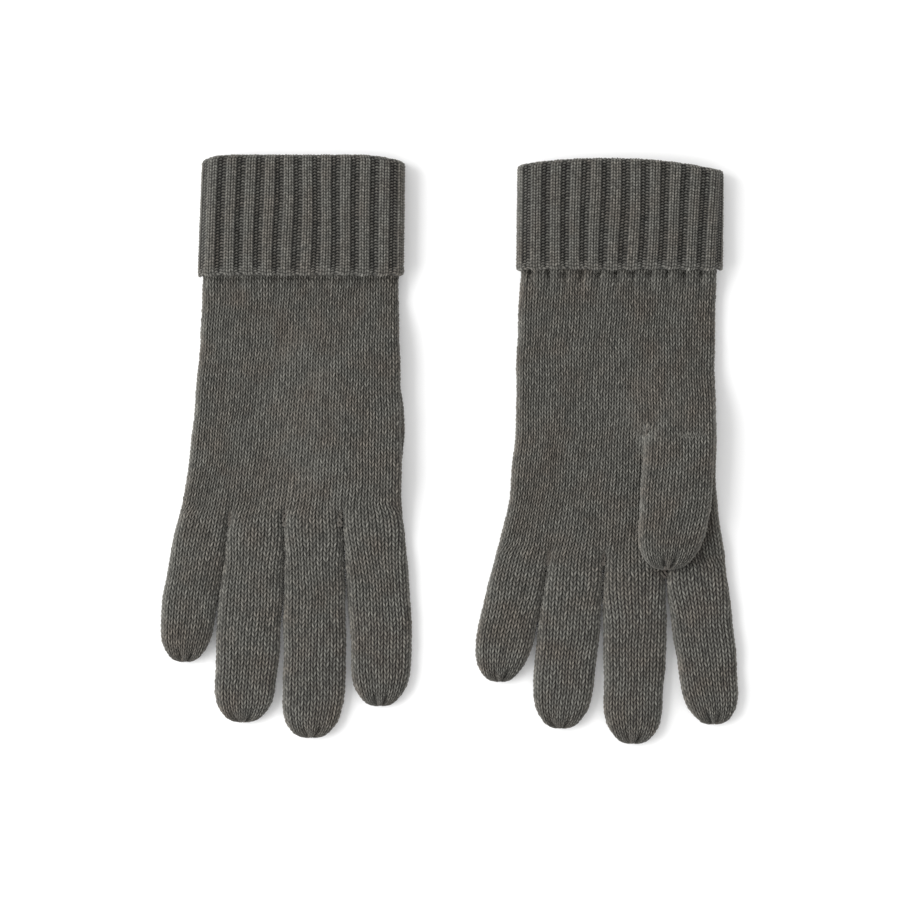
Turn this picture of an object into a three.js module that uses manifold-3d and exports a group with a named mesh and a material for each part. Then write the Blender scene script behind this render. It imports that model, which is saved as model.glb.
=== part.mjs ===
// A pair of knitted gloves lying flat side by side, in millimetres, +Z up, cuffs towards +Y.
// The right-hand glove lies back up on its folded-under thumb, and the left-hand glove lies palm
// up with its thumb across the palm. Every piece is a hollow tube of fabric pressed flat, so its
// cross-section is a slot with round ends: one outer loop and one inner loop, a ply apart.
import * as THREE from 'three';
import { mergeVertices } from 'three/addons/utils/BufferGeometryUtils.js';
import Module from 'manifold-3d';

// ---- Driving dimensions -------------------------------------------------------------------
const GAP = 0.3;              // air between pieces that touch
const PLY = 1.5;              // one layer of plain knitting
const RIB_PLY = 1.9;          // inner layer of the ribbed wrist
const TURNED_PLY = 2.0;       // outer, turned-back layer of the wrist
const FLAT = 7.6;             // height of a hand, finger or thumb tube as it lies
const WRIST_LUMEN = 4.8;      // height of the opening at the wrist
const WELT_LENGTH = 2.4;      // cast-on welt along the free edge of the turned cuff
const WELT_EXTRA = 0.3;       // how far the welt stands proud of the cuff
const TURN_LENGTH = 2.2;      // depth of the fold at the mouth of the wrist
const TIP_LENGTH = 11;        // rounded end of a finger or thumb
const TIP_ANGLES = [25, 50, 75];
const TIP_SQUASH = 2.3;       // how much thinner a tube is at its very tip
const TIP_LIFT = 0.4;         // share of that thinning that raises the underside
const CLOSURE = { x: 3.2, y: 0.9, z: 2.2 };      // half sizes of a drawn-together tip
const CLOSURE_DROP = 0.2;     // how far it sits below the middle of the tube
const DARN = { x: 2.6, y: 1.7, z: 0.8 };         // half sizes of a darned corner
const KNOT_SEGMENTS = { around: 10, over: 6 };
const THUMB_SLIT = { x: 18, y: 7 };              // opening from the hand into the thumb
const CUT_MARGIN = 1;         // how far its cutter reaches past the fabric
const TURN_ROUNDING = 0.9;    // corner taken off the fold at the mouth of the wrist
const STATION_SPACING = 3;    // least distance along a tube between two stations
const WELD_DISTANCE = 1e-5;
const ARC_STEPS = 4;
const FINGER_FLAT_STEPS = 2;
const HAND_FLAT_STEPS = 10;
const WRIST_RISE = 12;        // length over which the hand climbs to the thicker wrist
const PLACE = { x: -0.71, y: 0.65 };              // brings the middle of the pair to X = Y = 0

// The back of the right-hand glove drapes over the thumb that is folded beneath it.
const DRAPE = {
  height: FLAT + 0.6,
  x: [-66, -50],
  wrist: [64, 44],
  fingers: [-45, -15],
  handStations: [54, 47, 30, 10, -9, -23],
  fingerStations: [-34, -39, -45],
};

const WRIST_HEIGHT = WRIST_LUMEN + 2 * RIB_PLY;
const CUFF_HEIGHT = WRIST_HEIGHT + 2 * (GAP + TURNED_PLY);
const WRIST_LOW = GAP + TURNED_PLY;

// Outlines: y is the place along the glove, left and right are the edges of the tube there.
// Fingers give their middle line x and their width w; fold is the bend halfway along.
const GLOVES = [
  {
    side: 'right',
    thumbBelow: true,
    colour: 0x57554f,
    cuff: {
      edge: 72.6, top: 122.6, drop: 1.2,
      atEdge: { left: -104.6, right: -18.3 },
      atTop: { left: -102.5, right: -17.6 },
    },
    hand: [
      { y: 41.6, left: -104.2, right: -20.2 },
      { y: 20.6, left: -105.8, right: -19.7 },
      { y: 0, left: -107.8, right: -19.3 },
      { y: -17.2, left: -110, right: -19.3 },
    ],
    fork: { y: -29, left: -113, right: -19.3 },
    fingers: {
      index: { fold: -66, tip: -107.9, line: [
        { y: -29, x: -31.7, w: 24.8 }, { y: -63, x: -28.6, w: 26 },
        { y: -84, x: -27.9, w: 25.6 }, { y: -107.9, x: -28.6, w: 23.5 }] },
      middle: { fold: -73, tip: -121.4, line: [
        { y: -29, x: -56.7, w: 23.5 }, { y: -63, x: -55.7, w: 25.6 },
        { y: -101, x: -56.1, w: 26.5 }, { y: -121.4, x: -57.5, w: 24 }] },
      ring: { fold: -70, tip: -115.1, line: [
        { y: -29, x: -80.4, w: 22.3 }, { y: -63, x: -82.7, w: 26.9 },
        { y: -89, x: -84.2, w: 26.5 }, { y: -115.1, x: -86.1, w: 24 }] },
      little: { fold: -57, tip: -89.5, line: [
        { y: -29, x: -102.5, w: 21 }, { y: -63, x: -108.2, w: 23.1 },
        { y: -89.5, x: -110.5, w: 21 }] },
    },
    thumb: { base: 34, tip: -22, low: 0, line: [
      { y: 34, x: -35, w: 26 }, { y: 20, x: -33.6, w: 30 }, { y: 4, x: -33.1, w: 30.4 },
      { y: -10, x: -34.5, w: 28.4 }, { y: -22, x: -36.5, w: 24 }] },
    thumbDarn: { x: -46, y: 38.5 },
    forkDarns: [
      { fork: 'index_middle', x: -45.2, y: -26.7 },
      { fork: 'middle_ring', x: -68.4, y: -26.7 },
      { fork: 'ring_little', x: -91.2, y: -26.7 }],
  },
  {
    side: 'left',
    thumbBelow: false,
    colour: 0x54524d,
    cuff: {
      edge: 75, top: 121.2, drop: 4.6,
      atEdge: { left: 28.4, right: 114.7 },
      atTop: { left: 29, right: 115.1 },
    },
    hand: [
      { y: 41.6, left: 28.6, right: 111.7 },
      { y: 8, left: 28.6, right: 112.1 },
      { y: -21.4, left: 25.6, right: 112.6 },
      { y: -29.8, left: 23.9, right: 113.4 },
      { y: -45, left: 19.8, right: 115.9 },
    ],
    fork: { y: -51.3, left: 18.3, right: 116.6 },
    fingers: {
      index: { fold: -83, tip: -115.9, line: [
        { y: -45, x: 103.5, w: 24.8 }, { y: -72, x: 106.3, w: 25.2 },
        { y: -97, x: 109.2, w: 24.4 }, { y: -115.9, x: 111.7, w: 22 }] },
      middle: { fold: -87, tip: -123.9, line: [
        { y: -45, x: 77.7, w: 25.2 }, { y: -72, x: 78.5, w: 26 },
        { y: -101, x: 77.7, w: 25.2 }, { y: -123.9, x: 77.3, w: 23 }] },
      ring: { fold: -84, tip: -117.2, line: [
        { y: -45, x: 53.3, w: 22.7 }, { y: -72, x: 51, w: 25.6 },
        { y: -97, x: 48.5, w: 25.6 }, { y: -117.2, x: 47, w: 23 }] },
      little: { fold: -73, tip: -97.9, line: [
        { y: -45, x: 30.7, w: 21.8 }, { y: -63, x: 27.3, w: 23.5 },
        { y: -80, x: 23.7, w: 23.9 }, { y: -97.9, x: 21, w: 21 }] },
    },
    thumb: { base: 8, tip: -50.8, low: FLAT + GAP, line: [
      { y: 8, x: 96.6, w: 29 }, { y: -13, x: 95.8, w: 30.2 }, { y: -30, x: 94.1, w: 29.4 },
      { y: -50.8, x: 91.1, w: 24 }] },
    thumbDarn: { x: 82.5, y: 12.5 },
    forkDarns: [
      { fork: 'index_middle', x: 90.8, y: -48.4, inside: true },
      { fork: 'middle_ring', x: 65, y: -43 },
      { fork: 'ring_little', x: 42, y: -43 }],
  },
];

// ---- Helpers ------------------------------------------------------------------------------
const wasm = await Module();
wasm.setup();

const mix = (a, b, t) => a + (b - a) * t;
const smooth = (from, to, value) => THREE.MathUtils.smoothstep(
  (value - from) / (to - from), 0, 1);

function between(stations, y) {
  let k = 0;
  while (k < stations.length - 2 && y < stations[k + 1].y) k += 1;
  const a = stations[k];
  const b = stations[k + 1];
  const t = (y - a.y) / (b.y - a.y);
  const result = { y };
  for (const key of Object.keys(a)) {
    if (key !== 'y') result[key] = mix(a[key], b[key], t);
  }
  return result;
}

function drapeLift(x, y) {
  const across = smooth(DRAPE.x[0], DRAPE.x[1], x);
  const along = smooth(DRAPE.wrist[0], DRAPE.wrist[1], y)
    * smooth(DRAPE.fingers[0], DRAPE.fingers[1], y);
  return DRAPE.height * across * along;
}

// One loop of a flattened tube: bottom, right end, top, left end, seen along -Y.
function loop(s, inset, flatSteps, lift) {
  const half = (s.high - s.low) / 2;
  const r = half - inset;
  const zMid = (s.low + s.high) / 2;
  const xLeft = s.left + half;
  const xRight = s.right - half;
  const flat = (from, to, z) => Array.from({ length: flatSteps }, (_, k) => [
    mix(from, to, k / flatSteps), z]);
  const arc = (x, start) => Array.from({ length: ARC_STEPS }, (_, k) => {
    const angle = start + (Math.PI * k) / ARC_STEPS;
    return [x + r * Math.cos(angle), zMid + r * Math.sin(angle)];
  });
  const outline = [
    ...flat(xLeft, xRight, zMid - r),
    ...arc(xRight, -Math.PI / 2),
    ...flat(xRight, xLeft, zMid + r),
    ...arc(xLeft, Math.PI / 2),
  ];
  const centre = (s.left + s.right) / 2;
  const reach = (s.right - s.left) / 2;
  return outline.map(([x, z]) => {
    const drop = (s.drop ?? 0) * ((x - centre) / reach) ** 2;
    const y = s.y - drop;
    return new THREE.Vector3(x, y, z + (lift ? lift(x, y) : 0));
  });
}

// A closed ring of fabric: loops follow one another round its wall and back to the first.
function ringGeometry(loops) {
  const count = loops[0].length;
  const index = [];
  for (let i = 0; i < loops.length; i += 1) {
    const next = (i + 1) % loops.length;
    for (let j = 0; j < count; j += 1) {
      const k = (j + 1) % count;
      const a = i * count + j;
      const b = i * count + k;
      const c = next * count + k;
      const d = next * count + j;
      index.push(a, c, b, a, d, c);
    }
  }
  const geometry = new THREE.BufferGeometry().setFromPoints(loops.flat());
  geometry.setIndex(index);
  return geometry;
}

// A tube open at both ends: the outer loops towards -Y, then the inner loops back.
function tubeGeometry(stations, ply, flatSteps, lift) {
  const outer = stations.map((s) => loop(s, 0, flatSteps, lift));
  const inner = stations.map((s) => loop(s, ply, flatSteps, lift));
  return ringGeometry([...inner, ...outer.reverse()]);
}

function toManifold(geometry) {
  const bare = new THREE.BufferGeometry();
  bare.setAttribute('position', geometry.getAttribute('position'));
  bare.setIndex(geometry.getIndex());
  const merged = mergeVertices(bare, WELD_DISTANCE);
  return new wasm.Manifold(new wasm.Mesh({
    numProp: 3,
    vertProperties: new Float32Array(merged.getAttribute('position').array),
    triVerts: new Uint32Array(merged.getIndex().array),
  }));
}

function cutAway(geometry, cutter) {
  const mesh = toManifold(geometry).subtract(toManifold(cutter)).getMesh();
  const result = new THREE.BufferGeometry();
  result.setAttribute('position', new THREE.BufferAttribute(mesh.vertProperties, 3));
  result.setIndex(new THREE.BufferAttribute(mesh.triVerts, 1));
  return result;
}

function boxGeometry(low, high) {
  const box = new THREE.BoxGeometry(high[0] - low[0], high[1] - low[1], high[2] - low[2]);
  return box.translate(
    (low[0] + high[0]) / 2, (low[1] + high[1]) / 2, (low[2] + high[2]) / 2);
}

function knot(half) {
  const ball = new THREE.SphereGeometry(1, KNOT_SEGMENTS.around, KNOT_SEGMENTS.over);
  return ball.scale(half.x, half.y, half.z);
}

function piece(name, geometry, colour, place = [0, 0, 0]) {
  const material = new THREE.MeshStandardMaterial({ color: colour, roughness: 0.95, metalness: 0 });
  const mesh = new THREE.Mesh(geometry, material);
  mesh.name = name;
  mesh.position.set(...place);
  return mesh;
}

// ---- Sub-parts ----------------------------------------------------------------------------
function tubeStation(line, y, low, high) {
  const s = between(line, y);
  return { y, left: s.x - s.w / 2, right: s.x + s.w / 2, low, high };
}

// Stations of the rounded end, from the last full one to the drawn-together tip.
function tipStations(line, tip, low) {
  const end = tip + 2 * CLOSURE.y + GAP;
  const start = end + TIP_LENGTH;
  const full = between(line, start);
  const last = THREE.MathUtils.degToRad(TIP_ANGLES.at(-1));
  return [tubeStation(line, start, low, low + FLAT), ...TIP_ANGLES.map((degrees) => {
    const angle = THREE.MathUtils.degToRad(degrees);
    const y = start - (TIP_LENGTH * Math.sin(angle)) / Math.sin(last);
    const x = between(line, y).x;
    const width = full.w * Math.cos(angle);
    const squash = TIP_SQUASH * (1 - Math.cos(angle));
    return {
      y, left: x - width / 2, right: x + width / 2,
      low: low + squash * TIP_LIFT, high: low + FLAT - squash * (1 - TIP_LIFT),
    };
  })];
}

function tipClosure(name, line, tip, low, colour) {
  const x = between(line, tip).x;
  return piece(name, knot(CLOSURE), colour, [x, tip + CLOSURE.y, low + FLAT / 2 - CLOSURE_DROP]);
}

function fingerPieces(glove, finger) {
  const { line, fold, tip } = glove.fingers[finger];
  const lift = glove.thumbBelow ? drapeLift : null;
  const start = glove.fork.y - GAP / 2;
  const inBase = line.filter((s) => s.y < start && s.y > fold + STATION_SPACING).map((s) => s.y);
  const draped = glove.thumbBelow ? DRAPE.fingerStations : [];
  const baseYs = [start, ...draped, ...inBase, fold + GAP / 2].sort((a, b) => b - a);
  const rounded = tipStations(line, tip, 0);
  const inEnd = line
    .filter((s) => s.y < fold - STATION_SPACING && s.y > rounded[0].y + STATION_SPACING)
    .map((s) => s.y);
  const endYs = [fold - GAP / 2, ...inEnd];
  const base = baseYs.map((y) => tubeStation(line, y, 0, FLAT));
  const end = [...endYs.map((y) => tubeStation(line, y, 0, FLAT)), ...rounded];
  const name = `${glove.side}_${finger}`;
  return [
    piece(`${name}_base`, tubeGeometry(base, PLY, FINGER_FLAT_STEPS, lift), glove.colour),
    piece(`${name}_end`, tubeGeometry(end, PLY, FINGER_FLAT_STEPS, null), glove.colour),
    tipClosure(`${name}_tip_closure`, line, tip, 0, glove.colour),
  ];
}

function thumbPieces(glove) {
  const { base, tip, low, line } = glove.thumb;
  const rounded = tipStations(line, tip, low);
  const inside = line.filter((s) => s.y < base && s.y > rounded[0].y + STATION_SPACING);
  const ys = [base, ...inside.map((s) => s.y)];
  const stations = [...ys.map((y) => tubeStation(line, y, low, low + FLAT)), ...rounded];
  return [
    piece(`${glove.side}_thumb`, tubeGeometry(stations, PLY, FINGER_FLAT_STEPS, null), glove.colour),
    tipClosure(`${glove.side}_thumb_tip_closure`, line, tip, low, glove.colour),
  ];
}

function wristEdges(glove, y) {
  const { edge, top, atEdge, atTop } = glove.cuff;
  const t = (y - edge) / (top - edge);
  return { left: mix(atEdge.left, atTop.left, t), right: mix(atEdge.right, atTop.right, t) };
}

function handGeometry(glove) {
  const wristY = glove.cuff.edge - GAP;
  const wrist = wristEdges(glove, glove.cuff.edge);
  const atWrist = {
    y: wristY,
    left: wrist.left + WRIST_LOW,
    right: wrist.right - WRIST_LOW,
  };
  const line = [atWrist, ...glove.hand, glove.fork];
  const fixed = [wristY - WRIST_RISE / 2, wristY - WRIST_RISE];
  const draped = glove.thumbBelow ? DRAPE.handStations : [];
  const ys = [wristY, ...fixed, ...draped, ...glove.hand.map((s) => s.y), glove.fork.y + GAP / 2];
  const stations = ys.sort((a, b) => b - a).map((y) => {
    const rise = smooth(wristY - WRIST_RISE, wristY, y);
    const s = between(line, y);
    return {
      ...s,
      low: WRIST_LOW * rise,
      high: mix(FLAT, WRIST_LOW + WRIST_HEIGHT, rise),
    };
  });
  return tubeGeometry(stations, PLY, HAND_FLAT_STEPS, glove.thumbBelow ? drapeLift : null);
}

// The slit lies just beyond the thumb's open base, through the layer that faces the thumb.
function thumbSlit(glove) {
  const { base, line } = glove.thumb;
  const x = line[0].x;
  const y = base + GAP;
  const middle = glove.thumbBelow ? DRAPE.height + FLAT / 2 : FLAT / 2;
  const z = glove.thumbBelow ? [-CUT_MARGIN, middle] : [middle, FLAT + CUT_MARGIN];
  return boxGeometry(
    [x - THUMB_SLIT.x / 2, y, z[0]], [x + THUMB_SLIT.x / 2, y + THUMB_SLIT.y, z[1]]);
}

// Darns at the finger forks show on top, except where the thumbtip covers the fork: there the
// darn lies in the web between the two layers.
function handPieces(glove) {
  const hand = cutAway(handGeometry(glove), thumbSlit(glove));
  const lift = glove.thumbBelow ? drapeLift : () => 0;
  const darns = glove.forkDarns.map(({ fork, x, y, inside }) => {
    const onTop = FLAT + lift(x + DARN.x, y + DARN.y) + GAP + DARN.z;
    const z = inside ? FLAT / 2 : onTop;
    return piece(`${glove.side}_${fork}_fork_darn`, knot(DARN), glove.colour, [x, y, z]);
  });
  const { x, y } = glove.thumbDarn;
  const z = glove.thumbBelow ? lift(x - DARN.x, y) - GAP - DARN.z : FLAT + GAP + DARN.z;
  return [
    piece(`${glove.side}_hand`, hand, glove.colour),
    ...darns,
    piece(`${glove.side}_thumb_darn`, knot(DARN), glove.colour, [x, y, z]),
  ];
}

// Loops of the wrist are named by how deep they lie inside the outside of the turned cuff.
function cuffLoop(glove, y, depth, dropShare) {
  const s = {
    y, ...wristEdges(glove, y), low: 0, high: CUFF_HEIGHT, drop: glove.cuff.drop * dropShare,
  };
  return loop(s, depth, HAND_FLAT_STEPS, null);
}

function wristPieces(glove) {
  const { edge, top } = glove.cuff;
  const under = TURNED_PLY + GAP;
  const lumen = under + RIB_PLY;
  const weltEnd = edge + WELT_LENGTH;
  const turn = top - TURN_LENGTH;
  const rib = ringGeometry([
    cuffLoop(glove, edge, lumen, 0),
    cuffLoop(glove, edge, under, 0),
    cuffLoop(glove, turn - GAP, under, 1),
    cuffLoop(glove, turn - GAP, lumen, 1),
  ]);
  const turned = ringGeometry([
    cuffLoop(glove, weltEnd + GAP, TURNED_PLY, 0),
    cuffLoop(glove, weltEnd + GAP, 0, 0),
    cuffLoop(glove, turn, 0, 1),
    cuffLoop(glove, top, TURN_ROUNDING, 1),
    cuffLoop(glove, top, lumen - TURN_ROUNDING, 1),
    cuffLoop(glove, turn, lumen, 1),
    cuffLoop(glove, turn, TURNED_PLY, 1),
  ]);
  const welt = ringGeometry([
    cuffLoop(glove, edge, TURNED_PLY, 0),
    cuffLoop(glove, edge, WELT_EXTRA, 0),
    cuffLoop(glove, edge + WELT_LENGTH / 2, 0, 0),
    cuffLoop(glove, weltEnd, WELT_EXTRA, 0),
    cuffLoop(glove, weltEnd, TURNED_PLY, 0),
  ]);
  return [
    piece(`${glove.side}_wrist_rib`, rib, glove.colour),
    piece(`${glove.side}_turned_cuff`, turned, glove.colour),
    piece(`${glove.side}_cuff_edge`, welt, glove.colour),
  ];
}

// ---- The pair -----------------------------------------------------------------------------
const pair = new THREE.Group();
for (const glove of GLOVES) {
  const group = new THREE.Group();
  group.add(...handPieces(glove), ...wristPieces(glove), ...thumbPieces(glove));
  for (const finger of Object.keys(glove.fingers)) group.add(...fingerPieces(glove, finger));
  pair.add(group);
}
pair.position.set(PLACE.x, PLACE.y, 0);

export default pair;
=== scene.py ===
"""A pair of knitted gloves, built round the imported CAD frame.

Every piece of fabric is a closed shell on a lattice of stitches. A row of the lattice runs along
a course of knitting and a column runs along a wale. A smooth base surface gives the shape of the
flattened glove, and a relief of stitches is raised on it along its normals. Lengths here are in
millimetres until a mesh is made.
"""

import math

import bpy
import numpy as np
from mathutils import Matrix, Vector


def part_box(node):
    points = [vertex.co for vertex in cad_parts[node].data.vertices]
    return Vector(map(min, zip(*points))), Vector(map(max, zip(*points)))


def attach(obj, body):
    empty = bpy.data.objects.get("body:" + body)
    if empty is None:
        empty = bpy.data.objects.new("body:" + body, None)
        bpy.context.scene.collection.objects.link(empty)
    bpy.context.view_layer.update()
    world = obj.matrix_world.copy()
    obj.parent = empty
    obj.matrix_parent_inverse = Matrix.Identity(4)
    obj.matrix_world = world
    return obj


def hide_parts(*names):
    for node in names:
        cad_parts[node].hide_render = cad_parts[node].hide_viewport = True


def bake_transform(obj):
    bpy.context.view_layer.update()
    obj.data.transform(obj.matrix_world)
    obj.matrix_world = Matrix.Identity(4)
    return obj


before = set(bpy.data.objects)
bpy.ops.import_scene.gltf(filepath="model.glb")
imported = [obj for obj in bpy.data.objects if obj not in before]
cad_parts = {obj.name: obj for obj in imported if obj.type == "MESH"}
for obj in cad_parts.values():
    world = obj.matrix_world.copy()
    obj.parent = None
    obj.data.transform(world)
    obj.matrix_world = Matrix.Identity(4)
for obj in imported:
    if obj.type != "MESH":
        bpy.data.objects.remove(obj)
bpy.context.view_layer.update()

MM = 0.001
FINGERS = ("little", "ring", "middle", "index")  # from left to right on both gloves
TURN = 2 * math.pi

# ---- Chance ----
SEED = 41  # each use of chance adds a number of its own to this
WANDER_SEED, ACROSS_SEED, ALONG_SEED, PLEAT_SEED = 1, 50, 60, 80

# ---- The CAD frame ----
HALF_GAP = 0.15  # half the gap between CAD pieces that are joined in a real glove
FULL_HEIGHT = 7.55  # least height of a CAD tube before it rounds over at its tip
WHOLE_SECTION = 0.8  # least width of a whole section, as a share of the usual width

# ---- Knitting ----
COLUMNS = 6  # lattice columns to a wale
ROWS = 4  # lattice rows to a course
HAND_COURSE = 1.78  # height of a row of stitches
FINGER_COURSE = 2.0
CHEVRON = 2.1  # how far a row of stitches zigzags, which makes the V of each stitch
STITCH_RELIEF = 1.0
STITCH_SINK = 0.3  # share of the relief that lies below the base surface
STITCH_SPREAD = 0.3  # how much the legs of the stitches differ in height
STITCH_JITTER = 0.13  # how far a leg of a stitch strays from its place
EDGE_CALM = 0.45  # how much lower the stitches are that face sideways
QUARTERS = (0, 0.25, 0.5, 0.75, 1)
LEG_ACROSS = (0.3, 0.85, 1.0, 0.8, 0.3)  # height of a leg at each quarter of its course
LEG_ALONG = (0.2, 0.95, 1.0, 0.05)  # and at each third of its length
PURL_BAR = (0.1, 0.7, 1.0, 0.7, 0.1)  # height of a purl stitch at each quarter
FINGER_WALES = 22  # round a finger: 9 on top, 2 at each side, 9 beneath
TOP_WALES = 9
THUMB_WALES = 26
HAND_WALES = 2 * (4 * TOP_WALES + 2)

# ---- Fabric ----
PLY = 1.3
SIDE_ROOM = 0.3  # left at each side of a tube for its stitches
FLOOR_ROOM = 0.9  # and beneath it
CROWDING = 0.35  # how much wider fingers are where they press on each other
TUBE_TOP = 6.6  # top of a flattened tube before its crown
CROWN = 0.8
WANDER = 0.11  # how far each wave of the wales and courses strays from a straight line
RIPPLE = 0.32  # height of the soft unevenness of fabric that lies flat
LONGEST_WAVE = 0.12  # of both, in radians to the millimetre
RIPPLE_SHORTEST, WANDER_SHORTEST = 0.42, 0.35
RIPPLE_WAVES = 9
HAND_INNER_ROWS = 24  # rows of the hidden inner side
TUBE_INNER_ROWS = 10

# ---- The hand ----
# A span says where a slope starts and ends, measured from the place that its comment names.
GROOVE_DEPTH = 2.5  # of the fold between two fingers where they leave the hand
FORK_SPAN = (4.0, -1.5)  # from a crotch, where the hand parts into fingers
RISE_SPAN = (-13, -1)  # from the cuff's free edge, where the hand rises to the wrist
RISE_LOW, RISE_HIGH = 2.6, 10.3
TUCK_SPAN = (-0.5, 3)  # and where it narrows to go inside the cuff
TUCK_LOW, TUCK_HIGH = 4.6, 8.6
TUCK_SIDE = 2.2
HAND_BEYOND = 9.0  # how far the hand goes on inside the cuff
DRAPE = 5.6  # how far the thumb beneath the right hand lifts it
DRAPE_SIDE_SPAN = (-32, 7)  # from the left side of that thumb
DRAPE_WRIST_SPAN = (30, 9)  # from its wrist end
DRAPE_TIP_SPAN = (-22, 8)  # from its tip
SWELL = 7.6  # how far the left palm rises into its thumb
SWELL_WRIST_SPAN = (40, 2)  # from the thumb's corner
SWELL_TIP_SPAN = (-9, 3)
SWELL_SLOPE = (7, 36)  # width of the slope beside the thumb, at its corner and nearer the wrist
SWELL_SLOPE_SPAN = (-1, 14)
SWELL_OUTSIDE = 0.45  # share of that slope that lies outside the thumb
THUMB_CORNER_DROP = 4.5  # from the top of the left thumb's CAD tube to its corner on the palm
CUFF_DIP = {"right": 2.4, "left": 1.0}  # of the hand where it goes under the cuff
DIMPLE_DEPTH = {"right": 0.8, "left": 3.2}  # of the gathers beneath the cuff's edge
DIMPLE_SPACING, DIMPLE_START, DIMPLE_SHARPNESS = 7.14, 5.2, 2.4
DIP_START = 1.5  # distance from the cuff's edge where the dip is deepest
DIP_LENGTH = 3.6
DIP_SPAN = (-2, 1.5)

# ---- Fingers and thumbs ----
TIP_ROOM = 0.4  # between the end of the CAD and the base surface
TIP_LENGTH = 16.0  # of the part of a tube that rounds over at its tip
TIP_BLUNTNESS = 0.66  # power of the narrowing there: a smaller one makes a squarer tip
TIP_ARC = 14.5  # radius that spaces the courses evenly round the tip
TIP_END = math.radians(87.5)  # how far round it the last course lies
TIP_LIMIT = math.radians(89)
TIP_WIDTH_AT = 9.6  # from the end, where the width is read that the rounding narrows
TIP_CENTRE_AT = 2  # and where the middle line is read
TIP_STEER = 0.8  # how closely the tip follows that middle line
TIP_FADE = 0.35  # height of the stitches at the very end
TIP_FADE_START = math.radians(35)
TIP_BOTTOM_RISE, TIP_THICKNESS = 1.9, 2.4
PLEAT_DEPTH = 2.1  # of the folds gathered at the tip
PLEAT_SPAN = (math.radians(25), math.radians(58))
THUMB_PLEATS = 1.25  # how much deeper they are on a thumb
EVEN_WALES = 22  # how far down a finger its wales take to space themselves evenly
CROWD_START, CROWD_END = (0, 6), (50, 25)  # along a finger, where the crowding comes and goes
THUMB_FOLD = 24.0  # and along a thumb, to a fold point that is worked out but not used
FINGER_LINING = 0.72  # share of the end of a finger that has an inner side
THUMB_LINING = 0.8
THUMB_OVERLAP = 7.0  # how far a thumb goes on into the hand
THUMB_SINK, THUMB_SINK_LENGTH = 2.2, 9  # how far its upper side sinks below the palm there
THUMB_TOP = {"right": 4.6, "left": 6.8}  # the right one is pressed flat beneath its hand

# ---- Darns and closures ----
DARN_THICKNESS = 0.85
FORK_DARN = (0.75, 3.2, 0.4)  # half sizes of the tangle
FORK_DARN_TURNS = (7, 2)
FORK_DARN_DEPTH = 1.4  # below the top of the fabric
FORK_DARN_SHIFT = 2.2  # towards the fingertips
THUMB_DARN = (1.3, 1.3, 0.35)
THUMB_DARN_TURNS = (2, 3)
THUMB_DARN_SHIFT = (1.4, -1.0)
THUMB_DARN_LIFT = 0.3  # above the crown of the palm
ROSETTE_LOBES, ROSETTE_BULGE = 6, 0.22
ROSETTE_RADIUS, ROSETTE_TUBE = 1.35, 0.85
ROSETTE_SIZE = (0.78, 0.8, 0.55)
ROSETTE_PLACE = (1.0, 3.0)  # behind the tip and above the tube's underside

# ---- The ribbed wrist ----
RIB_REPEATS = 23
REPEAT_WALES = 4  # two knit and two purl
RIB_COLUMNS = 22  # lattice columns to a repeat of the rib
RIB_COURSE = 1.27
RIB_ROWS = 4
RIB_DEPTH = 1.45  # from the top of a raised rib to the floor between two of them
RIB_EDGE = (-0.06, 0.05)  # of a raised rib, where its side starts and ends
RIB_CROWN = 0.3
RIB_RELIEF, RIB_SPREAD, RIB_SINK = 0.9, 0.2, 0.2  # of its stitches, as on plain knitting
RIB_CHEVRON = 0.75
PURL_ARCH = 0.55  # how far a purl stitch bows the other way
PURL_HEIGHT = 1.1
PURL_EDGE = 0.4  # height of a purl stitch at its sides, as a share
PAINTED_PURL_SHADE = 0.22  # depth added where the rib is sunk between its raised ribs, so that the material paints shade onto the purl there
KNIT_SHARE = 0.285  # half the width of the raised rib, as a share of the repeat
KNIT_OPENING = 0.17  # how much wider it is at the free edge, where the rib opens out
OPEN_DEPTH, FOLD_DEPTH = 0.25, 0.1  # share of the rib's depth left at the free edge and the fold
RIB_PHASE = {"right": 0.0, "left": 0.0169}  # turns the ribs round the wrist, as a share of it
RIB_LEAN = {"right": 0.002, "left": 0.0133}  # how far they have leant at the top of the cuff
LEAN_LENGTH = 48
RIB_WAVER = 0.0016
CUFF_HEIGHT = 13.2
CUFF_FLOOR, CUFF_ROOF = 0.75, 0.5  # room for its stitches beneath it and above it
CUFF_PLY = 2.0
CUFF_CROWN = 0.6
CUFF_INSIDE = 7.0  # how far the turned cuff goes on down inside the mouth
EDGE_CURL, CURL_LENGTH = 1.1, 1.6  # how far the free edge curls in, and over what length
CUFF_BACK_INSETS = (2.3, 2.25, 2.15)  # of the hidden side, from inside the mouth outwards
UNDER_ROWS = 5  # rows of that side below the fold
WELT = 2.4  # height of the cast-on edge
OPENING_SPAN = (WELT + 1.4, 0.6)
LUMEN_DEPTH = 4.2  # from the outside of the cuff to the space inside the wrist
WRIST_OVERLAP = 7.2  # how far below the fold the inner layer starts
WRIST_BACK = 2.4
WRIST_BACK_ROWS = 6


# ---- Reading the frame ----
def corners(node):
    """The lowest and highest corners of a CAD node, in millimetres."""
    low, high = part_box(node)
    return np.array(low) / MM, np.array(high) / MM


def node_points(node):
    """All points of a CAD node, in millimetres."""
    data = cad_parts[node].data
    points = np.empty(3 * len(data.vertices))
    data.vertices.foreach_get("co", points)
    return points.reshape(-1, 3) / MM


def outline(nodes, full_height=0.0):
    """Places along Y where the CAD tubes have a whole section, with its left and right edges."""
    points = np.concatenate([node_points(node) for node in nodes])
    levels = np.round(points[:, 1], 2)
    found = []
    for y in np.unique(levels):
        section = points[levels == y]
        if np.ptp(section[:, 2]) >= full_height:
            found.append((y, section[:, 0].min(), section[:, 0].max()))
    found = np.array(found)
    widths = found[:, 2] - found[:, 1]
    return found[widths > WHOLE_SECTION * np.median(widths)]


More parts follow.
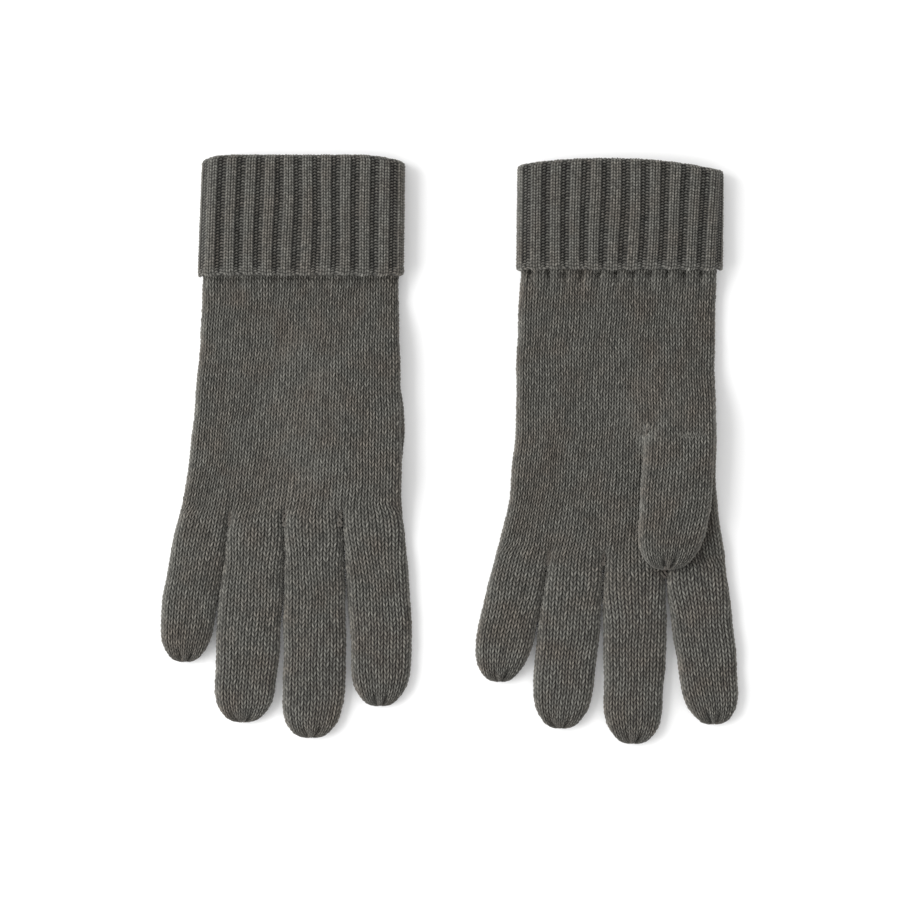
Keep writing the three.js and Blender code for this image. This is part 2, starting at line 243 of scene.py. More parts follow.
class Profile:
    """The middle line and half width of a tube along Y, with the corners of the CAD eased."""

    BEYOND = 15  # how far the lines go on past the ends of the tube
    SAMPLES = 400

    def __init__(self, sections, ease):
        ys, left, right = sections.T
        self.y = np.linspace(ys[0] - self.BEYOND, ys[-1] + self.BEYOND, self.SAMPLES)
        step = self.y[1] - self.y[0]
        reach = int(3 * ease / step)
        kernel = np.exp(-0.5 * (np.arange(-reach, reach + 1) * step / ease) ** 2)
        kernel /= kernel.sum()
        self.edges = [self._eased(ys, edge, kernel, reach) for edge in (left, right)]

    def _eased(self, ys, edge, kernel, reach):
        slopes = (edge[1] - edge[0]) / (ys[1] - ys[0]), (edge[-1] - edge[-2]) / (ys[-1] - ys[-2])
        line = np.interp(self.y, ys, edge)
        line += np.where(self.y < ys[0], (self.y - ys[0]) * slopes[0], 0)
        line += np.where(self.y > ys[-1], (self.y - ys[-1]) * slopes[1], 0)
        padded = np.concatenate([
            2 * line[0] - line[reach:0:-1], line, 2 * line[-1] - line[-2:-reach - 2:-1]])
        return np.convolve(padded, kernel, mode="valid")

    def at(self, y):
        left = np.interp(y, self.y, self.edges[0])
        right = np.interp(y, self.y, self.edges[1])
        return (left + right) / 2, (right - left) / 2


# ---- Shapes ----
def smooth(start, end, value):
    """Rises softly from 0 at start to 1 at end, which may be the lower of the two."""
    t = np.clip((value - start) / (end - start), 0, 1)
    return t * t * (3 - 2 * t)


def slope(at, span, value):
    return smooth(at + span[0], at + span[1], value)


def mix(a, b, t):
    return a + (b - a) * t


def slot_section(u, centre, half, low, high):
    """A point at share u of the way round a slot with round ends, from its left end over the top."""
    radius = np.minimum((high - low) / 2, half)
    flat = 2 * (half - radius)
    quarter = math.pi * radius / 2
    s = u * (2 * flat + 4 * quarter)
    over = np.clip(s - quarter, 0, flat)
    back = np.clip(s - 3 * quarter - flat, 0, flat)
    angle = math.pi - (s - over - back) / radius
    x = centre - half + radius + over - back + radius * np.cos(angle)
    return x, (low + high) / 2 + radius * np.sin(angle)


def plane_wave(draw, shortest, x, y):
    """A wave over the surface, with a length, heading and phase by chance."""
    wave = draw.uniform(LONGEST_WAVE, shortest)
    heading = draw.uniform(0, TURN)
    phase = draw.uniform(0, TURN)
    return np.sin(wave * (x * np.cos(heading) + y * np.sin(heading)) + phase)


def ripple(x, y):
    """Soft unevenness of the fabric, the same for every piece so that they stay joined."""
    draw = np.random.default_rng(SEED)
    total = 0 * (x + y)
    for _ in range(RIPPLE_WAVES):
        total = total + plane_wave(draw, RIPPLE_SHORTEST, x, y)
    return RIPPLE * total / math.sqrt(RIPPLE_WAVES)


def wander(points):
    """Lets the wales and courses stray a little, the same for every piece."""
    x, y = points[..., 0], points[..., 1]
    draw = np.random.default_rng(SEED + WANDER_SEED)
    for axis in (0, 0, 0, 1, 1, 1):
        points[..., axis] = points[..., axis] + WANDER * plane_wave(draw, WANDER_SHORTEST, x, y)
    return points


def settle(x, y, z, centre, half, low, high, crown=CROWN):
    """Crowns and ripples the upper side of a tube, and leaves its underside flat."""
    upper = np.clip((z - (low + high) / 2) / ((high - low) / 2), 0, 1)
    across = np.clip(np.abs(x - centre) / half, 0, 1)
    return z + upper * (crown * (1 - across ** 2) + ripple(x, y))


def unit(vectors):
    return vectors / np.maximum(np.linalg.norm(vectors, axis=2, keepdims=True), 1e-9)


def directions_of(points):
    """Unit normals of a lattice that closes on itself, and its directions across and along."""
    across = np.roll(points, -1, axis=1) - np.roll(points, 1, axis=1)
    along = np.gradient(points, axis=0)
    return unit(np.cross(across, along)), unit(across), unit(along)


# ---- Stitches ----
def stitch_lattice(wales, courses, first_course=0):
    """Wale and course numbers of each lattice point, and how far each lies from its V's middle."""
    w = np.arange(wales * COLUMNS) / COLUMNS
    c = first_course + np.arange(courses * ROWS + 1) / ROWS
    w, c = np.meshgrid(w, c)
    off_middle = np.abs(w % 1 - 0.5) * 2
    return w, c, off_middle


def stitch_noise(shape, seed, spread):
    """A seeded value round 1 for each leg of each stitch, given to all its lattice points."""
    rows, columns = shape
    draw = np.random.default_rng(SEED + seed)
    legs = draw.uniform(1 - spread, 1 + spread, (rows // ROWS + 2, 2 * columns // COLUMNS + 2))
    return legs[np.arange(rows)[:, None] // ROWS, 2 * np.arange(columns)[None, :] // COLUMNS]


def leg_height(phase, off_middle):
    """Height of one leg of a stitch: round across, and tucked in at both of its ends."""
    across = np.interp(phase, QUARTERS, LEG_ACROSS)
    along = np.interp(off_middle, (0, 0.33, 0.67, 1), LEG_ALONG)
    return across * along


def jersey_relief(c, off_middle, seed):
    """Plain knitting: each stitch is two slanted legs, with a groove between wales."""
    height = leg_height(c % 1, off_middle) * stitch_noise(c.shape, seed, STITCH_SPREAD)
    return STITCH_RELIEF * (height - STITCH_SINK)


def rib_stitch(t):
    """For place t in the rib's repeat: off the middle of its wale, 0 to 1, and whether it is purl."""
    size = np.abs(t)
    purl = size > KNIT_SHARE
    in_purl = (size - KNIT_SHARE) / (0.5 - KNIT_SHARE)
    across = np.where(purl, in_purl, size / KNIT_SHARE)
    return np.abs(across - 0.5) * 2, purl


def rib_shift(t):
    """How far a row of the rib is carried along by the V of its knit and purl stitches."""
    off_middle, purl = rib_stitch(t)
    return RIB_CHEVRON * np.where(purl, 0.5 - PURL_ARCH * (1 - off_middle), off_middle - 0.5)


def rib_relief(t, c, open_share, fold_share, seed):
    """Two-by-two rib at place t in its repeat, -0.5 to 0.5: knit in the middle, purl outside.

    The rib is shallower where open_share or fold_share is high. Gives the height of the fabric,
    and the part of it that its stitches make, lowered where the rib is sunk to paint shade on the purl."""
    off_middle, purl = rib_stitch(t)
    half_knit = KNIT_SHARE + open_share * KNIT_OPENING
    size = np.abs(t)
    raised = 1 - slope(half_knit, RIB_EDGE, size)
    depth = RIB_DEPTH * mix(1, OPEN_DEPTH, open_share) * mix(1, FOLD_DEPTH, fold_share)
    crown = RIB_CROWN * (size / half_knit) ** 2 * raised * (1 - fold_share)
    bars = PURL_HEIGHT * np.interp((c + 0.5 * (t > 0)) % 1, QUARTERS, PURL_BAR)
    bars = bars * mix(PURL_EDGE, 1, 1 - off_middle)
    stitches = np.where(purl, bars, leg_height(c % 1, off_middle))
    stitches = stitches * stitch_noise(t.shape, seed, RIB_SPREAD)
    height = depth * (raised - 1) - crown + stitches * RIB_RELIEF - RIB_SINK
    return height, stitches - STITCH_SINK - PAINTED_PURL_SHADE * (1 - raised)


# ---- Meshes ----
def lattice_faces(points):
    """Where the corners of each face are in the list of points, and their rows and columns."""
    rows, columns = points.shape[:2]
    i, j = np.meshgrid(np.arange(rows), np.arange(columns), indexing="ij")
    i, j = i.ravel(), j.ravel()
    row = np.stack([i, i, i + 1, i + 1], axis=1)
    column = np.stack([j, j + 1, j + 1, j], axis=1)
    index = (row % rows) * columns + column % columns
    flat = points.reshape(-1, 3)
    a, b, c, d = (flat[index[:, k]] for k in range(4))
    volume = (np.cross(a, b) * c).sum() + (np.cross(a, c) * d).sum()
    if volume < 0:
        index, row, column = (m[:, ::-1] for m in (index, row, column))
    return index, row, column


def add_layers(mesh, row, column, shape, wales, courses, relief):
    """The stitch numbers and the relief that the materials read for their painted shade and highlight,
    and the layer that a bake needs.
    """
    rows, columns = shape
    knit = np.stack([
        np.append(wales, wales[-1] * 2 - wales[-2])[column],
        courses[row % rows],
    ], axis=-1)
    margin = 0.01
    bake = np.stack([column / columns, row / rows], axis=-1) * (1 - 2 * margin) + margin
    for layer, values in (("Knit", knit), ("OFBake", bake)):
        uv = mesh.uv_layers.new(name=layer)
        uv.data.foreach_set("uv", values.astype(np.float32).ravel())
    height = mesh.attributes.new("relief", "FLOAT", "POINT")
    height.data.foreach_set("value", relief.astype(np.float32).ravel())


def crease_rows(mesh, columns, hard_rows):
    """Keeps the shading of the outer side of the fabric apart from that of its edges."""
    ends = np.empty(2 * len(mesh.edges), dtype=np.int32)
    mesh.edges.foreach_get("vertices", ends)
    edge_rows = ends.reshape(-1, 2) // columns
    sharp = (edge_rows[:, 0] == edge_rows[:, 1]) & np.isin(edge_rows[:, 0], hard_rows)
    crease = mesh.attributes.new("sharp_edge", "BOOLEAN", "EDGE")
    crease.data.foreach_set("value", sharp)


def ring_mesh(name, points, wales, courses, relief, hard_rows):
    """A closed skin on a lattice that closes both ways. Its rows are loops round the piece."""
    index, row, column = lattice_faces(points)
    mesh = bpy.data.meshes.new(name)
    mesh.vertices.add(points.size // 3)
    mesh.vertices.foreach_set("co", (points * MM).ravel())
    mesh.loops.add(index.size)
    mesh.loops.foreach_set("vertex_index", index.ravel().astype(np.int32))
    mesh.polygons.add(len(index))
    mesh.polygons.foreach_set("loop_start", np.arange(0, index.size, 4, dtype=np.int32))
    mesh.update(calc_edges=True)
    mesh.polygons.foreach_set("use_smooth", np.ones(len(index), dtype=bool))
    add_layers(mesh, row, column, points.shape[:2], wales, courses, relief)
    crease_rows(mesh, points.shape[1], hard_rows)
    piece = bpy.data.objects.new(name, mesh)
    bpy.context.scene.collection.objects.link(piece)
    return piece


def calmer_edge(normal):
    """Stitches stretched round the sides and ends of a tube stand up less than those on top."""
    return 1 - EDGE_CALM * (normal[..., :1] ** 2 + normal[..., 1:2] ** 2)


def knit_shell(name, base, relief, w, c, seed, inner_rows=TUBE_INNER_ROWS, folds=0.0, lining=1.0):
    """A tube of knitting with a hidden inner side behind a share of it, closed at both ends."""
    normal, across, along = directions_of(base)
    centre = base.mean(axis=1, keepdims=True)
    normal *= np.sign(((base - centre) * normal).sum())
    stray_across = stitch_noise(relief.shape, ACROSS_SEED + seed, 1)[..., None] - 1
    stray_along = stitch_noise(relief.shape, ALONG_SEED + seed, 1)[..., None] - 1
    folds = (folds + 0 * relief)[..., None]
    outer = base + normal * (relief[..., None] * calmer_edge(normal) - folds)
    outer += STITCH_JITTER * (across * stray_across + along * stray_along)
    picked = np.linspace(int(lining * (len(base) - 1)), 0, inner_rows).astype(int)
    inner = (base - normal * (PLY + folds))[picked]
    points = np.concatenate([outer, inner])
    courses = np.concatenate([c[:, 0], c[picked, 0]])
    depth = np.concatenate([relief / STITCH_RELIEF, np.zeros(inner.shape[:2])])
    hard = [0, len(base) - 1, len(base), len(points) - 1]
    return ring_mesh(name, points, w[0], courses, depth, hard)


def yarn_knot(name, at, size, seed, turns):
    """A little tangle of one closed strand of three plies: a darned corner."""
    strand_steps, sides = 120, 10
    plies, twists, ply_relief = 3, 27, 0.16
    t = np.linspace(0, TURN, strand_steps, endpoint=False)
    draw = np.random.default_rng(SEED + seed)
    start = draw.uniform(0, TURN, 3)
    path = np.stack([
        size[0] * np.cos(turns[0] * t + start[0]),
        size[1] * np.sin(turns[1] * t + start[1]),
        size[2] * np.sin((turns[0] + turns[1]) * t + start[2]),
    ], axis=1)
    tangent = np.roll(path, -1, axis=0) - np.roll(path, 1, axis=0)
    tangent /= np.linalg.norm(tangent, axis=1, keepdims=True)
    side = np.cross(tangent, [0, 0, 1.0])
    side /= np.linalg.norm(side, axis=1, keepdims=True)
    up = np.cross(side, tangent)
    angle = np.linspace(0, TURN, sides, endpoint=False)
    strands = np.cos(plies * angle[None, :] - twists * t[:, None])
    radius = (DARN_THICKNESS / 2 * (1 + ply_relief * strands))[..., None]
    points = path[:, None] + np.array(at) + radius * (
        np.cos(angle)[None, :, None] * side[:, None] + np.sin(angle)[None, :, None] * up[:, None])
    return ring_mesh(name, points, angle / math.pi, 6 * t / math.pi, 0.3 * strands, [])


# ---- The hand ----
class Glove:
    """Places of one glove, read from its CAD nodes."""

    def __init__(self, side):
        self.side = side
        self.hand = Profile(outline([f"{side}_hand"]), ease=5.0)
        self.edge = corners(f"{side}_cuff_edge")[0][1]
        self.top = corners(f"{side}_turned_cuff")[1][1]
        self.fork = corners(f"{side}_hand")[0][1] - HALF_GAP
        darns = [f"{side}_{pair}_fork_darn" for pair in ("ring_little", "middle_ring", "index_middle")]
        self.crotches = [sum(corners(node))[1] / 2 for node in darns]
        self.fingers = {finger: self._finger(finger) for finger in FINGERS}
        self.hand_at_fork = self.hand.at(self.fork)
        low, high = corners(f"{side}_thumb")
        self.thumb = {
            "profile": Profile(outline([f"{side}_thumb"], FULL_HEIGHT), ease=4.0),
            "start": high[1],
            "tip": corners(f"{side}_thumb_tip_closure")[0][1] + TIP_ROOM,
            "low": low[2],
        }

    def _finger(self, finger):
        nodes = [f"{self.side}_{finger}_base", f"{self.side}_{finger}_end"]
        profile = Profile(outline(nodes, FULL_HEIGHT), ease=6.0)
        return {
            "profile": profile,
            "at_fork": profile.at(self.fork),
            "fold": corners(nodes[0])[0][1] - HALF_GAP,
            "tip": corners(f"{self.side}_{finger}_tip_closure")[0][1] + TIP_ROOM,
        }


def finger_share(w, s, centre_half, low, high):
    """How far round its section a wale of a finger lies. At the fork 9 wales span the top."""
    radius = (high - low) / 2
    around = 4 * (centre_half - radius) + 2 * math.pi * radius
    side = radius * np.arcsin(np.clip((radius - GROOVE_DEPTH) / radius, 0, 1)) / around
    half = FINGER_WALES / 2
    mirrored = np.where(w > half, FINGER_WALES - w, w)
    on_top = side + (mirrored - 1) / TOP_WALES * (0.5 - 2 * side)
    on_right = 0.5 - (half - mirrored) * side
    at_fork = np.where(mirrored < 1, mirrored * side, np.where(mirrored > half - 1, on_right, on_top))
    at_fork = np.where(w > half, 1 - at_fork, at_fork)
    return mix(at_fork, w / FINGER_WALES, smooth(0, EVEN_WALES, s))


def drape(glove, x, y):
    """How far the right-hand glove is lifted by the thumb that lies beneath it."""
    if glove.side == "left":
        return 0 * (x + y)
    low, high = corners("right_thumb")
    along = slope(high[1], DRAPE_WRIST_SPAN, y) * slope(low[1], DRAPE_TIP_SPAN, y)
    return DRAPE * slope(low[0], DRAPE_SIDE_SPAN, x) * along


def thumb_swell(glove, x, y):
    """How far the palm rises into the thumb that is knitted onto it."""
    if glove.side == "right":
        return 0 * (x + y)
    corner = glove.thumb["start"] - THUMB_CORNER_DROP
    centre, half = glove.thumb["profile"].at(corner + 0 * y)
    along = slope(corner, SWELL_WRIST_SPAN, y) * slope(corner, SWELL_TIP_SPAN, y)
    width = mix(*SWELL_SLOPE, slope(corner, SWELL_SLOPE_SPAN, y))
    outside = centre - half - SWELL_OUTSIDE * width
    return SWELL * along * smooth(outside, outside + width, x)


def cuff_gathers(glove, x, y):
    """The dip of the hand below the cuff, with dimples where it is gathered into the rib."""
    distance = glove.edge - y
    near = np.exp(-np.clip(distance - DIP_START, 0, None) / DIP_LENGTH) * smooth(*DIP_SPAN, distance)
    wave = 0.5 + 0.5 * np.cos(TURN * (x - DIMPLE_START) / DIMPLE_SPACING)
    return -near * (CUFF_DIP[glove.side] + DIMPLE_DEPTH[glove.side] * wave ** DIMPLE_SHARPNESS)


def hand_base(glove, y, w):
    """The smooth surface of the hand at each wale and place along Y."""
    centre, half = glove.hand.at(y)
    rise = slope(glove.edge, RISE_SPAN, y)
    tuck = slope(glove.edge, TUCK_SPAN, y)
    low = mix(mix(FLOOR_ROOM, RISE_LOW, rise), TUCK_LOW, tuck)
    high = mix(mix(TUBE_TOP, RISE_HIGH, rise), TUCK_HIGH, tuck)
    half = half - SIDE_ROOM - TUCK_SIDE * tuck
    x_wide, z_wide = slot_section(w / HAND_WALES, centre, half, low, high)
    z_wide = settle(x_wide, y, z_wide, centre, half, low, high)
    x_lobed, z_lobed = lobed_section(glove, y, w, centre, half, low, high)
    across = (x_wide - centre) / half
    across = mix(across, share_wales(glove, across), smooth(glove.edge, glove.fork, y))
    forked = forking(glove, y, w)
    x = mix(centre + half * across, x_lobed, forked)
    z = mix(z_wide, z_lobed, forked)
    upper = np.clip((z - low) / (high - low), 0, 1)
    z = z + drape(glove, x, y) + upper * (thumb_swell(glove, x, y) + cuff_gathers(glove, x, y))
    return wander(np.stack([x, y + 0 * x, z], axis=-1))


def share_wales(glove, across):
    """Moves the wales across the hand so that each finger has its own above it."""
    centre, fork_half = glove.hand_at_fork
    grooves = TOP_WALES * np.arange(1, len(FINGERS)) + 1
    even = slot_section(grooves / HAND_WALES, 0, fork_half, FLOOR_ROOM, TUBE_TOP)[0] / fork_half
    edges = [glove.fingers[finger]["at_fork"] for finger in FINGERS]
    right = np.array([line + reach for line, reach in edges[:-1]])
    left = np.array([line - reach for line, reach in edges[1:]])
    wanted = ((left + right) / 2 - centre) / fork_half
    return np.interp(across, [-1, *even, 1], [-1, *wanted, 1])


def from_left_edge(w):
    """Wales from the left edge of the hand, whether over the top or beneath."""
    return np.where(w > HAND_WALES / 2, HAND_WALES - w, w)


def forking(glove, y, w):
    """How far the hand has parted into fingers, which starts at each crotch in its own place."""
    first, second, third = (slope(at, FORK_SPAN, y) for at in glove.crotches)
    fingers_in = (from_left_edge(w) - 1) / TOP_WALES
    to_second = np.clip(fingers_in - 1, 0, 1)
    to_third = np.clip(fingers_in - 2, 0, 1)
    return mix(mix(first, second, to_second), third, to_third)


def lobed_section(glove, y, w, centre, half, low, high):
    """The section of the hand where it parts into fingers, stretched to the hand's width at y."""
    from_left = from_left_edge(w)
    fork_centre, fork_half = glove.hand_at_fork
    x_all = np.zeros_like(w + y)
    z_all = np.zeros_like(x_all)
    for k, finger in enumerate(FINGERS):
        line, finger_half = glove.fingers[finger]["at_fork"]
        finger_half = finger_half - SIDE_ROOM
        wale = np.clip(from_left - TOP_WALES * k, 0, FINGER_WALES / 2)
        share = finger_share(wale, 0 * y, finger_half, FLOOR_ROOM, TUBE_TOP)
        x, z = slot_section(share, line, finger_half, FLOOR_ROOM, TUBE_TOP)
        z = settle(x, y, z, line, finger_half, FLOOR_ROOM, TUBE_TOP)
        mine = (from_left >= TOP_WALES * k + (k > 0)) & (
            (from_left < TOP_WALES * (k + 1) + 1) | (k == len(FINGERS) - 1))
        x_all = np.where(mine, x, x_all)
        z_all = np.where(mine, z, z_all)
    x_all = centre + (x_all - fork_centre) * half / (fork_half - SIDE_ROOM)
    underside = np.maximum(low + high - z_all, FLOOR_ROOM)
    return x_all, np.where(w > HAND_WALES / 2, underside, z_all)


def make_hand(glove):
    side = glove.side
    length = glove.edge + HAND_BEYOND - glove.fork
    courses = round(length / HAND_COURSE)
    w, c, off_middle = stitch_lattice(HAND_WALES, courses)
    y = glove.fork + length * (1 - c / courses) + CHEVRON * (off_middle - 0.5)
    base = hand_base(glove, y, w)
    relief = jersey_relief(c, off_middle, 1)
    hand = knit_shell(f"{side}_glove_hand", base, relief, w, c, 1, HAND_INNER_ROWS)
    dress(hand, jersey, "jersey", f"{side}_hand")
    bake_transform(hand)


# ---- Fingers and thumbs ----
def rounded_end(s, straight):
    """Progress along a tube with a round end: how far it has gone and how much it has narrowed."""
    angle = np.clip((s - straight) / TIP_ARC, 0, TIP_LIMIT)
    travel = np.where(s < straight, s, straight + TIP_LENGTH * np.sin(angle))
    return travel, np.cos(angle), angle


def tip_pleats(w, wales, angle, seed):
    """Folds where the last stitches are drawn together: four deep ones and one at each side."""
    draw = np.random.default_rng(SEED + PLEAT_SEED + seed)
    deep_width, side_width, side_depth = 0.62, 0.8, 0.5
    depth = 0 * w
    for middle in (wales / 4, 3 * wales / 4):
        for side in (-1, 1):
            at = middle + side * draw.uniform(1.3, 2.6)
            depth = depth + draw.uniform(0.7, 1.1) * np.exp(-((w - at) / deep_width) ** 2)
    for at in (0.0, wales / 2, wales):
        depth = depth + side_depth * np.exp(-((w - at) / side_width) ** 2)
    return PLEAT_DEPTH * smooth(*PLEAT_SPAN, angle) * depth


def tube_base(profile, y0, tip, s, low, top, share, wider=0.0):
    """The smooth surface of a finger or thumb at length s from y0, and how far round its tip.

    Share gives how far round the section each lattice point lies."""
    travel, narrow, angle = rounded_end(s, y0 - tip - TIP_LENGTH)
    y = y0 - travel
    centre, half = profile.at(np.maximum(y, tip + TIP_WIDTH_AT))
    centre = mix(centre, profile.at(np.maximum(y, tip + TIP_CENTRE_AT))[0], TIP_STEER)
    half = (half - SIDE_ROOM + wider) * narrow ** TIP_BLUNTNESS
    squash = 1 - narrow ** 0.5
    bottom = low + FLOOR_ROOM + TIP_BOTTOM_RISE * squash
    roof = low + mix(top, TIP_THICKNESS, squash)
    half = np.maximum(half, (roof - bottom) / 2)
    x, z = slot_section(share(half, bottom, roof), centre, half, bottom, roof)
    z = settle(x, y, z, centre, half, bottom, roof, CROWN * (1 - squash))
    return wander(np.stack([x, y + 0 * x, z], axis=-1)), angle


def tube_relief(c, off_middle, angle, seed):
    """The stitches of a tube, which fade towards the middle of its tip."""
    return mix(1, TIP_FADE, smooth(TIP_FADE_START, TIP_END, angle)) * jersey_relief(c, off_middle, seed)


def make_finger(glove, finger):
    """A finger in two pieces that meet at its middle fold, and its closure."""
    place = glove.fingers[finger]
    base_length = glove.fork - place["fold"]
    end_length = glove.fork - place["tip"] - TIP_LENGTH - base_length + TIP_ARC * TIP_END
    base_courses = round(base_length / FINGER_COURSE)
    end_courses = round(end_length / FINGER_COURSE)

    def length_at(c):
        beyond = base_length + (c - base_courses) / end_courses * end_length
        return np.where(c <= base_courses, c / base_courses * base_length, beyond)

    finger_piece(glove, finger, "base", stitch_lattice(FINGER_WALES, base_courses), length_at, 1.0)
    end_lattice = stitch_lattice(FINGER_WALES, end_courses, base_courses)
    finger_piece(glove, finger, "end", end_lattice, length_at, FINGER_LINING)
    closure(glove, finger, place["tip"], 0)


def finger_piece(glove, finger, part, lattice, length_at, lining):
    side = glove.side
    place = glove.fingers[finger]
    w, c, off_middle = lattice
    s = length_at(c) - CHEVRON * (off_middle - 0.5)
    wider = CROWDING * smooth(*CROWD_START, s) * smooth(*CROWD_END, s)
    base, angle = tube_base(
        place["profile"], glove.fork, place["tip"], s, 0, TUBE_TOP,
        lambda half, low, high: finger_share(w, s, half, low, high), wider)
    base[..., 2] += drape(glove, base[..., 0], base[..., 1])
    relief = tube_relief(c, off_middle, angle, 2 + len(finger))
    folds = tip_pleats(w, FINGER_WALES, angle, len(finger))
    name = f"{finger}_{part}"
    piece = knit_shell(
        f"{side}_glove_{name}", base, relief, w, c, len(name), folds=folds, lining=lining)
    dress(piece, jersey, "jersey", f"{side}_{name}")
    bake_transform(piece)


def closure(glove, finger, tip, low):
    """The last stitches of a tube, drawn together into a little rosette."""
    side = glove.side
    node = f"{side}_{finger}_tip_closure"
    x = sum(corners(node))[0] / 2
    behind, above = ROSETTE_PLACE
    turn = np.linspace(0, TURN, 48, endpoint=False)[None, :]
    tilt = np.linspace(0, TURN, 18, endpoint=False)[:, None]
    bulge = 1 + ROSETTE_BULGE * np.cos(ROSETTE_LOBES * turn)
    spread = (ROSETTE_RADIUS + ROSETTE_TUBE * np.cos(tilt)) * bulge
    points = np.array(ROSETTE_SIZE) * np.stack([
        spread * np.cos(turn),
        np.sin(tilt) * bulge,
        spread * np.sin(turn),
    ], axis=-1) + np.array([x, tip + behind, low + above])
    depth = bulge - 0.9 + 0 * tilt
    rosette = ring_mesh(f"{side}_glove_{finger}_tip_gather", points, turn[0], tilt[:, 0], depth, [])
    dress(rosette, darn, "darn", node)
    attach(rosette, f"{side}_thumb" if finger == "thumb" else f"{side}_{finger}_end")


def make_thumb(glove):
    side = glove.side
    thumb = glove.thumb
    profile, start, tip, low = (thumb[key] for key in ("profile", "start", "tip", "low"))
    top = THUMB_TOP[side]
    y0 = start + THUMB_OVERLAP - (THUMB_CORNER_DROP if side == "left" else 0)
    length = y0 - tip - TIP_LENGTH + TIP_ARC * TIP_END
    courses = round(length / HAND_COURSE)
    w, c, off_middle = stitch_lattice(THUMB_WALES, courses)
    s = c / courses * length - CHEVRON * (off_middle - 0.5)
    base, angle = tube_base(profile, y0, tip, s, low, top, lambda *section: w / THUMB_WALES)
    upper_side = base[..., 2] > low + top / 2
    base[..., 2] -= THUMB_SINK * smooth(y0 - THUMB_SINK_LENGTH, y0, base[..., 1]) * upper_side
    relief = tube_relief(c, off_middle, angle, 9)
    folds = THUMB_PLEATS * tip_pleats(w, THUMB_WALES, angle, 5)
    piece = knit_shell(
        f"{side}_glove_thumb", base, relief, w, c, 9, folds=folds, lining=THUMB_LINING)
    dress(piece, jersey, "jersey", f"{side}_thumb")
    start, end = (start - 1) * MM, (start - 1 - THUMB_FOLD) * MM
    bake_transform(piece)
    closure(glove, "thumb", tip, low)


def make_darns(glove):
    """Darned corners: three down in the grooves at the forks, and one at the thumb's corner."""
    side = glove.side
    pairs = ("index_middle_fork", "middle_ring_fork", "ring_little_fork", "thumb")
    for k, pair in enumerate(pairs):
        node = f"{side}_{pair}_darn"
        x, y, _ = sum(corners(node)) / 2
        size, turns = THUMB_DARN, THUMB_DARN_TURNS
        z = drape(glove, x, y)
        if pair != "thumb":
            size, turns = FORK_DARN, FORK_DARN_TURNS
            y = y - FORK_DARN_SHIFT
            z = z + TUBE_TOP - FORK_DARN_DEPTH
        elif side == "left":
            x = x + THUMB_DARN_SHIFT[0]
            y = y + THUMB_DARN_SHIFT[1] - THUMB_CORNER_DROP
            z = TUBE_TOP + CROWN + THUMB_DARN_LIFT + thumb_swell(glove, x, y)
        knot = yarn_knot(f"{side}_glove_{pair}_darn", (x, y, z), size, 10 + k, turns)
        dress(knot, darn, "darn", node)
        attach(knot, f"{side}_hand")


# ---- The ribbed wrist ----
def cuff_edges(glove):
    """Left and right edges of the turned cuff at its free edge and at its fold."""
    points = node_points(f"{glove.side}_turned_cuff")
    bottom = points[points[:, 1] < points[:, 1].min() + 0.5]
    upper = points[points[:, 1] > points[:, 1].max() - 8]
    return (bottom[:, 0].min(), bottom[:, 0].max()), (upper[:, 0].min(), upper[:, 0].max())


def mouth_drop(glove, across, z):
    """How far the mouth of the wrist falls away from its highest point, towards its corners."""
    if glove.side == "left":
        return 4.6 * np.clip(np.abs(across + 0.15) / 1.1, 0, 1) ** 2.2
    corner = 1.3 * smooth(0.55, 1.0, across) + 1.6 * np.clip(np.abs(across), 0, 1) ** 10
    half_height = CUFF_HEIGHT / 2
    back_ply = 0.9 * np.clip((half_height - z) / half_height, 0, 1)
    return corner - back_ply


def cuff_points(glove, y, inset, u):
    """A loop of the wrist at each row, as deep under the cuff's outside as inset says."""
    at_edge, at_top = cuff_edges(glove)
    t = (y - glove.edge) / (glove.top - glove.edge)
    left = mix(at_edge[0], at_top[0], t)
    right = mix(at_edge[1], at_top[1], t)
    centre = (left + right) / 2
    half = (right - left) / 2 - inset
    x, z = slot_section(u, centre, half, inset + CUFF_FLOOR, CUFF_HEIGHT - inset - CUFF_ROOF)
    middle = (CUFF_HEIGHT + CUFF_FLOOR - CUFF_ROOF) / 2
    upper = np.clip((z - middle) / (middle - inset), 0, 1)
    across = (x - centre) / half
    z = z + upper * CUFF_CROWN * (1 - across ** 2 + ripple(x, y))
    y = y - smooth(glove.edge, glove.top, y) * mouth_drop(glove, across, z)
    return np.stack([x, y + 0 * x, z], axis=-1)


def rib_columns():
    return np.arange(RIB_REPEATS * RIB_COLUMNS) / (RIB_REPEATS * RIB_COLUMNS)


def rib_place(u):
    """Where in its repeat a column of the rib lies, with a raised rib at 0."""
    return (u * RIB_REPEATS + 0.5) % 1 - 0.5


def rib_turn(side, u, s):
    """How far round the wrist the ribs have got on their way up the cuff, leaning and wavering."""
    waver = RIB_WAVER * np.sin(0.11 * s + 20 * u) * np.sin(TURN * u) ** 2
    if side == "left":
        lean = 0.5 - 0.5 * np.cos(TURN * u)
    else:
        lean = -np.sin(TURN * u) * smooth(0, 0.45, u)
    return (u + RIB_PHASE[side] + RIB_LEAN[side] * lean * s / LEAN_LENGTH + waver) % 1


def ring_between(name, front, back, u, courses, relief):
    """A ribbed ring: a detailed front, a plain back, and the two joined at both ends."""
    points = np.concatenate([front, back])
    course_numbers = np.concatenate([courses, np.linspace(courses[-1], courses[0], len(back))])
    depth = np.concatenate([relief, np.zeros(back.shape[:2])])
    hard = [0, len(front) - 1, len(front), len(points) - 1]
    return ring_mesh(name, points, u * RIB_REPEATS * REPEAT_WALES, course_numbers, depth, hard)


